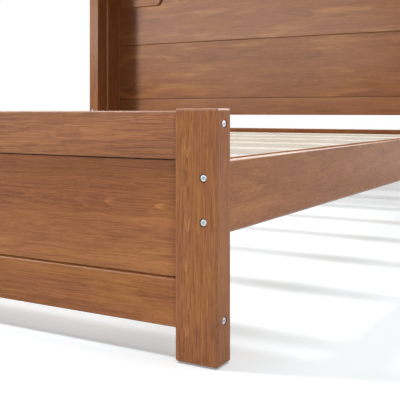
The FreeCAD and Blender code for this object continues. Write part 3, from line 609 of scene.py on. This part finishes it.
zincSteel = makePlain("zincSteel", steelLook)
mouldedPad = makePlain("mouldedPad", padLook)
for nodeName in ("barrel_nuts", "beam_hanger"):
    for slot in cadNodes[nodeName].material_slots:
        slot.material = zincSteel
print("steel and pads finished")


# Hardware, turned in Geometry Nodes and set at the places that the frame gives

cornerGap = 0.000002      # corners of a solid that lie closer than this are one
shellGap = 0.000004       # the same for the shells of a turned shape
sharpBend = 32            # degrees; a flatter edge is shaded smooth
rowsPerTurn = 2.5         # of a thread
threadRunOut = 0.02       # the share of a thread's length over which its depth ends
crossWaist = 0.42         # how near the middle the inner corners of a screw's cross lie


def looseParts(nodeName):
    # the corner points of each separate solid of a node
    shape = bmesh.new()
    shape.from_mesh(cadNodes[nodeName].data)
    bmesh.ops.remove_doubles(shape, verts=shape.verts, dist=cornerGap)
    seen, parts = set(), []
    for start in shape.verts:
        if start in seen:
            continue
        seen.add(start)
        part, waiting = [], [start]
        while waiting:
            corner = waiting.pop()
            part.append(corner.co.copy())
            for edge in corner.link_edges:
                other = edge.other_vert(corner)
                if other not in seen:
                    seen.add(other)
                    waiting.append(other)
        parts.append(part)
    shape.free()
    return parts


def placeOf(part, endDepth=0.0004):
    # the middle of the wider end, the way that end faces, and the length
    low = Vector([min(corner[i] for corner in part) for i in range(3)])
    high = Vector([max(corner[i] for corner in part) for i in range(3)])
    centre, extent = (low + high) / 2, high - low
    along = min(range(3), key=lambda i: abs(extent[i - 1] - extent[i - 2]))     # round across this axis
    unit = Vector([float(i == along) for i in range(3)])

    def widthAt(end):
        near = [corner for corner in part if abs(corner[along] - end) < endDepth]
        return max((corner - centre - (end - centre[along]) * unit).length for corner in near)

    wideEnd = max((low[along], high[along]), key=widthAt)
    place = centre + (wideEnd - centre[along]) * unit
    return place, unit if wideEnd > centre[along] else -unit, extent[along]


def gridPlace(tree, rowCount, sides):
    # a grid rolled up round Z: row number, column number and angle of each corner
    index = outputOf(tree, "GeometryNodeInputIndex")
    column = calc(tree, "FLOOR", calc(tree, "DIVIDE", plus(tree, index, 0.5), rowCount))
    row = minus(tree, index, times(tree, column, rowCount))
    return row, column, times(tree, column, 2 * math.pi / sides)


def rolledUp(tree, rowCount, sides, radius, height, angle):
    grid = addNode(tree, "GeometryNodeMeshGrid", {"Size X": 1.0, "Size Y": 1.0, "Vertices X": sides + 1,
                                                  "Vertices Y": rowCount}).outputs["Mesh"]
    place = outputOf(tree, "ShaderNodeCombineXYZ", {
        0: times(tree, radius, calc(tree, "COSINE", angle)),
        1: times(tree, radius, calc(tree, "SINE", angle)), 2: height})
    return outputOf(tree, "GeometryNodeSetPosition", {"Geometry": grid, "Position": place})


def turned(tree, rows, sides, bendRow):
    # rows: (radius, kind of row, height) from the outer end inwards; bendRow reshapes the round rows
    row, column, angle = gridPlace(tree, len(rows), sides)
    picker = addNode(tree, "GeometryNodeIndexSwitch", data_type="VECTOR")
    while len(picker.index_switch_items) < len(rows):
        picker.index_switch_items.new()
    tree.links.new(row, picker.inputs["Index"])
    for number, values in enumerate(rows):
        tree.links.new(outputOf(tree, "ShaderNodeCombineXYZ", dict(enumerate(values))),
                       picker.inputs[number + 1])
    radius, kind, height = addNode(tree, "ShaderNodeSeparateXYZ", {0: picker.outputs[0]}).outputs
    return rolledUp(tree, len(rows), sides, bendRow(tree, radius, kind, column, angle), height, angle)


def threaded(tree, sides, radius, depth, pitch, top, bottom):
    # a screw thread between two heights, plain at both ends so that it joins what is next to it
    length = minus(tree, top, bottom)
    rowCount = calc(tree, "FLOOR", times(tree, calc(tree, "DIVIDE", length, pitch), rowsPerTurn))
    rowCount = plus(tree, rowCount, 2.0)        # one more at each end
    row, column, angle = gridPlace(tree, rowCount, sides)
    share = calc(tree, "DIVIDE", row, minus(tree, rowCount, 1.0))
    height = minus(tree, top, times(tree, share, length))
    turns = plus(tree, calc(tree, "DIVIDE", height, pitch), calc(tree, "DIVIDE", column, float(sides)))
    groove = times(tree, calc(tree, "PINGPONG", turns, 0.5), 2.0)
    atTop = rangeOf(tree, share, 0.0, threadRunOut, 0.0, 1.0)
    atBottom = rangeOf(tree, share, 1.0, 1.0 - threadRunOut, 0.0, 1.0)
    groove = times(tree, groove, times(tree, atTop, atBottom))
    radius = minus(tree, radius, times(tree, groove, depth))
    return rolledUp(tree, rowCount, sides, radius, height, angle)


def isNumber(tree, value, number):
    return calc(tree, "COMPARE", value, number, 0.1)


def ridged(depth):
    # a way to bend rows: those of kind 1 become hexagons, those of kind 2 get flutes this deep
    def bendRow(tree, radius, kind, column, angle):
        angle = plus(tree, angle, 0.0001)       # a hair on, so that a corner falls on one side only
        corner = minus(tree, calc(tree, "MODULO", angle, math.pi / 3), math.pi / 6)
        hexagon = calc(tree, "DIVIDE", radius, calc(tree, "COSINE", corner))
        change = times(tree, minus(tree, hexagon, radius), isNumber(tree, kind, 1.0))
        flute = times(tree, calc(tree, "MODULO", column, 2.0), -depth)
        flute = times(tree, flute, isNumber(tree, kind, 2.0))
        return plus(tree, plus(tree, radius, change), flute)

    return bendRow


def crossed(tree, radius, kind, column, angle):
    # kind 1 is the cross that the driver fits: its inner corners lie near the middle
    inner = isNumber(tree, calc(tree, "MODULO", column, 4.0), 2.0)
    drop = times(tree, times(tree, inner, isNumber(tree, kind, 1.0)), crossWaist - 1)
    return times(tree, radius, plus(tree, 1.0, drop))


def finishTree(tree, given, shells):
    # close the shells, smooth them, and set one at each place, facing its way and turned by chance
    joined = addNode(tree, "GeometryNodeJoinGeometry")
    for shell in shells:
        tree.links.new(shell, joined.inputs[0])
    closed = outputOf(tree, "GeometryNodeMergeByDistance", {"Geometry": joined.outputs[0],
                                                            "Distance": shellGap})
    smooth = outputOf(tree, "GeometryNodeSetShadeSmooth", {"Geometry": closed, "Shade Smooth": True})
    bend = addNode(tree, "GeometryNodeInputMeshEdgeAngle").outputs["Unsigned Angle"]
    sharp = outputOf(tree, "FunctionNodeCompare", {0: bend, 1: math.radians(sharpBend)},
                     data_type="FLOAT", operation="GREATER_THAN")
    smooth = outputOf(tree, "GeometryNodeSetShadeSmooth", {"Geometry": smooth, "Selection": sharp,
                                                           "Shade Smooth": False}, domain="EDGE")
    facing = outputOf(tree, "GeometryNodeInputNamedAttribute", {"Name": "facing"},
                      data_type="FLOAT_VECTOR")
    turn = outputOf(tree, "FunctionNodeAlignRotationToVector", {"Vector": facing}, axis="Z")
    angle = addNode(tree, "FunctionNodeRandomValue", {2: 0.0, 3: 2 * math.pi, "Seed": given["Seed"]},
                    data_type="FLOAT").outputs[1]
    spin = outputOf(tree, "FunctionNodeAxisAngleToRotation", {"Axis": (0, 0, 1), "Angle": angle})
    turn = outputOf(tree, "FunctionNodeRotateRotation", {0: turn, 1: spin}, rotation_space="LOCAL")
    placed = outputOf(tree, "GeometryNodeInstanceOnPoints", {"Points": given["Places"],
                                                             "Instance": smooth, "Rotation": turn})
    real = outputOf(tree, "GeometryNodeRealizeInstances", {"Geometry": placed})
    painted = outputOf(tree, "GeometryNodeSetMaterial", {"Geometry": real, "Material": given["Finish"]})
    addNode(tree, "NodeGroupOutput", {0: painted})


def makeTurnedTree(name, sizes, profile, bendRow, length, sides):
    # profile gives groups of rows, and a thread's radius, depth, pitch, top and bottom or nothing
    inputs = {"Places": ("NodeSocketGeometry", None)}
    inputs.update({key: ("NodeSocketFloat", value) for key, value in sizes.items()})
    inputs.update({"Length": ("NodeSocketFloat", length), "Seed": ("NodeSocketInt", 1),
                   "Finish": ("NodeSocketMaterial", None)})
    tree = newGroup(name, "GeometryNodeTree", inputs, {"Shape": ("NodeSocketGeometry", None)})
    given = addNode(tree, "NodeGroupInput").outputs

    def below(value, extra=0.0):
        # a height that lies this far below the outer end, and a little more
        return minus(tree, -extra, value)

    groups, thread = profile(tree, given, below)
    shells = [turned(tree, rows, sides, bendRow) for rows in groups]
    if thread:
        shells.append(threaded(tree, sides, *thread))
    finishTree(tree, given, shells)
    return tree


def setShapes(name, tree, nodeName, finish, sizes):
    # one piece with a shape at every solid of the node, which it then stands for
    places = [placeOf(part) for part in looseParts(nodeName)]
    mesh = bpy.data.meshes.new(name)
    mesh.from_pydata([place for place, facing, length in places], [], [])
    facings = mesh.attributes.new("facing", "FLOAT_VECTOR", "POINT")
    for item, (place, facing, length) in zip(facings.data, places):
        item.vector = facing
    piece = bpy.data.objects.new(name, mesh)
    scene.collection.objects.link(piece)
    modifier = piece.modifiers.new("shapes", "NODES")
    modifier.node_group = tree
    keys = {item.name: item.identifier for item in tree.interface.items_tree if item.in_out == "INPUT"}
    for key, value in {**sizes, "Finish": finish, "Length": places[0][2]}.items():
        modifier[keys[key]] = value
    shape = bpy.data.meshes.new_from_object(piece.evaluated_get(bpy.context.evaluated_depsgraph_get()))
    piece.modifiers.clear()
    piece.data = shape
    outward = bmesh.new()
    outward.from_mesh(shape)
    bmesh.ops.recalc_face_normals(outward, faces=outward.faces)
    outward.to_mesh(shape)
    outward.free()
    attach(piece, "root")
    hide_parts(nodeName)


boltSizes = {"Head radius": 0.006, "Head height": 0.0045, "Head round": 0.0012,
             "Socket half width": 0.002, "Socket depth": 0.0025, "Shank radius": 0.003,
             "Thread length": 0.024, "Thread pitch": 0.001, "Thread depth": 0.0009,
             "Drill point": 0.0008, "Tip chamfer": 0.0006}
knurlDepth = 0.00018
rimSteps = ((0.62, 0.08), (0.29, 0.29), (0.08, 0.62))      # inwards and down, of the head's rounding


def boltProfile(tree, given, below):
    # a hexagon socket in a rounded head with a knurled rim, then the shank, its thread and its tip
    head, rim, flat = given["Head radius"], given["Head round"], given["Socket half width"]
    depth, shank, length = given["Socket depth"], given["Shank radius"], given["Length"]
    under, tip = below(given["Head height"]), given["Tip chamfer"]
    threadTop = minus(tree, given["Thread length"], length)
    tipTop = minus(tree, tip, length)
    drillEnd = minus(tree, below(depth), given["Drill point"])
    rows = [(0.0, 0, drillEnd), (flat, 1, below(depth)), (flat, 1, -0.0003),
            (plus(tree, flat, 0.0004), 1, 0.0), (minus(tree, head, rim), 0, 0.0)]
    for inwards, down in rimSteps:
        rows.append((minus(tree, head, times(tree, rim, inwards)), 0, times(tree, rim, -down)))
    rows += [(head, 0, below(rim)), (head, 2, below(rim, 0.0003)), (head, 2, plus(tree, under, 0.0004)),
             (minus(tree, head, 0.0002), 0, under), (plus(tree, shank, 0.0004), 0, under),
             (shank, 0, minus(tree, under, 0.0004)), (shank, 0, threadTop)]
    tipRows = [(shank, 0, tipTop), (minus(tree, shank, tip), 0, below(length)), (0.0, 0, below(length))]
    return [rows, tipRows], (shank, given["Thread depth"], given["Thread pitch"], threadTop, tipTop)


screwSizes = {"Head radius": 0.004, "Head height": 0.0024, "Shank radius": 0.002, "Cross reach": 0.0021,
              "Thread share": 0.62, "Thread pitch": 0.0018, "Thread depth": 0.0012,
              "Point length": 0.004}


def screwProfile(tree, given, below):
    head, shank, reach = given["Head radius"], given["Shank radius"], given["Cross reach"]
    down, end = below(given["Head height"]), below(given["Length"])
    pointTop = plus(tree, end, given["Point length"])
    threadTop = times(tree, end, minus(tree, 1.0, given["Thread share"]))
    rows = [(0.0, 0, -0.0016), (times(tree, reach, 0.45), 1, -0.0014), (reach, 1, -0.0001),
            (plus(tree, reach, 0.0002), 1, 0.0), (minus(tree, head, 0.0002), 0, 0.0), (head, 0, -0.0002),
            (plus(tree, shank, 0.0004), 0, plus(tree, down, 0.0003)), (shank, 0, down),
            (shank, 0, threadTop)]
    tip = [(shank, 0, pointTop), (times(tree, shank, 0.55), 0, plus(tree, end, 0.0018)), (0.0, 0, end)]
    return [rows, tip], (shank, given["Thread depth"], given["Thread pitch"], threadTop, pointTop)


boltTree = makeTurnedTree("socketBolt", boltSizes, boltProfile, ridged(knurlDepth), length=0.09, sides=24)
screwTree = makeTurnedTree("woodScrew", screwSizes, screwProfile, crossed, length=0.04, sides=16)
for name, nodeName in (("sideRailFootBolts", "side_rail_foot_bolts"),
                       ("sideRailHeadBolts", "side_rail_head_bolts"),
                       ("footboardBolts", "footboard_bolts"), ("crossRailBolts", "cross_rail_bolts"),
                       ("wingBolts", "wing_bolts")):
    setShapes(name, boltTree, nodeName, zincSteel, boltSizes)
for name, nodeName in (("slatScrews", "slat_screws"), ("ledgerScrews", "ledger_screws"),
                       ("wingScrews", "wing_screws"), ("battenScrews", "batten_screws"),
                       ("crestScrews", "crest_screws"), ("hangerScrews", "hanger_screws")):
    setShapes(name, screwTree, nodeName, zincSteel, screwSizes)
print("bolts and screws set")


# Dowels, glides, feet and studs

dowelSizes = {"Radius": 0.004, "Chamfer": 0.001}
fluteDepth, fluteMargin = 0.00035, 0.0012      # the flutes of a dowel end short of its chamfers


def dowelProfile(tree, given, below):
    full, chamfer, length = given["Radius"], given["Chamfer"], given["Length"]
    end = minus(tree, full, chamfer)
    foot = minus(tree, chamfer, length)
    return [[(0.0, 0, 0.0), (end, 0, 0.0), (full, 0, below(chamfer)),
             (full, 2, below(chamfer, fluteMargin)), (full, 2, plus(tree, foot, fluteMargin)),
             (full, 0, foot), (end, 0, below(length)), (0.0, 0, below(length))]], None


glideSizes = {"Pad radius": 0.010, "Pad height": 0.002, "Pin radius": 0.0015, "Pin point": 0.003,
              "Dish radius": 0.0045, "Dish depth": 0.0004}


def glideProfile(tree, given, below):
    pad, height, pin = given["Pad radius"], given["Pad height"], given["Pin radius"]
    dish, length, dishEnd = given["Dish radius"], given["Length"], below(given["Dish depth"])
    return [[(0.0, 0, dishEnd), (dish, 0, dishEnd), (plus(tree, dish, 0.0004), 0, 0.0),
             (minus(tree, pad, 0.0010), 0, 0.0), (minus(tree, pad, 0.0003), 0, -0.0003),
             (pad, 0, -0.0009), (pad, 0, plus(tree, below(height), 0.0002)),
             (minus(tree, pad, 0.0002), 0, below(height)), (pin, 0, below(height)),
             (pin, 0, plus(tree, below(length), given["Pin point"])), (0.0, 0, below(length))]], None


padSizes = {"Pad radius": 0.016, "Pad height": 0.006, "Rounding": 0.003, "Ring radius": 0.009,
            "Ring depth": 0.0005, "Edge break": 0.0008}
roundingSteps = 6


def padProfile(tree, given, below):
    pad, height, rounding = given["Pad radius"], given["Pad height"], given["Rounding"]
    ring, ringDepth, edge = given["Ring radius"], given["Ring depth"], given["Edge break"]
    rows = [(0.0, 0, below(ringDepth)), (ring, 0, below(ringDepth)),
            (plus(tree, ring, ringDepth), 0, 0.0), (minus(tree, pad, edge), 0, 0.0), (pad, 0, below(edge))]
    for step in range(roundingSteps + 1):
        turn = step * math.pi / 2 / roundingSteps
        rows.append((minus(tree, pad, times(tree, rounding, 1 - math.cos(turn))), 0,
                     minus(tree, minus(tree, rounding, height), times(tree, rounding, math.sin(turn)))))
    return [rows + [(0.0, 0, below(height))]], None


endBreak = 0.0007      # the chamfer at the ends of a stud
studSizes = {"Radius": 0.004, "Thread pitch": 0.00125, "Thread depth": 0.0009}


def studProfile(tree, given, below):
    full, bottom = given["Radius"], below(given["Length"])
    end, low = minus(tree, full, endBreak), plus(tree, bottom, endBreak)
    return ([[(0.0, 0, 0.0), (end, 0, 0.0), (full, 0, -endBreak)],
             [(full, 0, low), (end, 0, bottom), (0.0, 0, bottom)]],
            (full, given["Thread depth"], given["Thread pitch"], -endBreak, low))


footStudSizes = {"Radius": 0.004, "Thread pitch": 0.00125, "Thread depth": 0.0009, "Pad height": 0.006,
                 "Nut half width": 0.0065, "Nut height": 0.006}


def footStudProfile(tree, given, below):
    # starts on top of the pad with the nut, then the threaded stud and its end
    full, flat, bottom = given["Radius"], given["Nut half width"], below(given["Length"])
    start = below(given["Pad height"])
    end = minus(tree, start, given["Nut height"])
    corner, low = minus(tree, flat, 0.0004), plus(tree, bottom, endBreak)
    return ([[(0.0, 0, start), (corner, 1, start), (flat, 1, minus(tree, start, 0.0004)),
              (flat, 1, plus(tree, end, 0.0004)), (corner, 1, end), (full, 0, end)],
             [(full, 0, low), (minus(tree, full, endBreak), 0, bottom), (0.0, 0, bottom)]],
            (full, given["Thread depth"], given["Thread pitch"], end, low))


turnedBeech = makeWood("turnedBeech", "beech", Vector((-1.0, -1.15, 0.0)), Vector((1.0, 1.15, 1.1)),
                       axisY, axisX, {"Seed": 51.7})
fluted = ridged(fluteDepth)
dowelTree = makeTurnedTree("flutedDowel", dowelSizes, dowelProfile, fluted, length=0.040, sides=32)
setShapes("railDowels", dowelTree, "rail_dowels", turnedBeech, dowelSizes)
setShapes("capDowels", dowelTree, "cap_dowels", turnedBeech, dowelSizes)
glideTree = makeTurnedTree("postGlide", glideSizes, glideProfile, fluted, length=0.016, sides=32)
setShapes("postGlides", glideTree, "post_glides", mouldedPad, glideSizes)
padTree = makeTurnedTree("footPad", padSizes, padProfile, fluted, length=0.037, sides=40)
setShapes("footPads", padTree, "levelling_feet", mouldedPad, padSizes)
footStudTree = makeTurnedTree("footStud", footStudSizes, footStudProfile, fluted, length=0.037, sides=24)
setShapes("footStuds", footStudTree, "levelling_feet", zincSteel, footStudSizes)
studTree = makeTurnedTree("legStud", studSizes, studProfile, fluted, length=0.060, sides=24)
setShapes("legStuds", studTree, "leg_studs", zincSteel, studSizes)
print("dowels, glides, feet and studs set")
